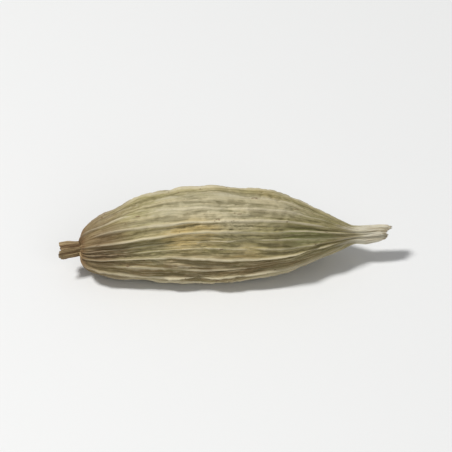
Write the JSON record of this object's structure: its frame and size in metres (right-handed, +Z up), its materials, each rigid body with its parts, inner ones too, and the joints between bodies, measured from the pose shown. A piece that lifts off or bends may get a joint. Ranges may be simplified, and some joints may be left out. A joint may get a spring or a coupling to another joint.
{
  "type": "green cardamom pod",
  "caption": "Whole dried cardamom pod lying on one face: a three-sided ribbed spindle with a short stalk stub at the blunt end and a dry beak at the tapered end.",
  "frame": {"origin": "on the surface that the pod lies on, under the middle of its bounding box", "axes": "+X along the pod from the stalk stub to the beak, +Z up, with the pod lying on one of its three faces and one ridge on top"},
  "size_m": [0.0156, 0.0048, 0.0042],
  "materials": {
    "husk": "dry fibrous husk, matte with a faint sheen on the ribs"
  },
  "bodies": {
    "root": {"cardamom_pod": "husk"}
  },
  "joints": []
}
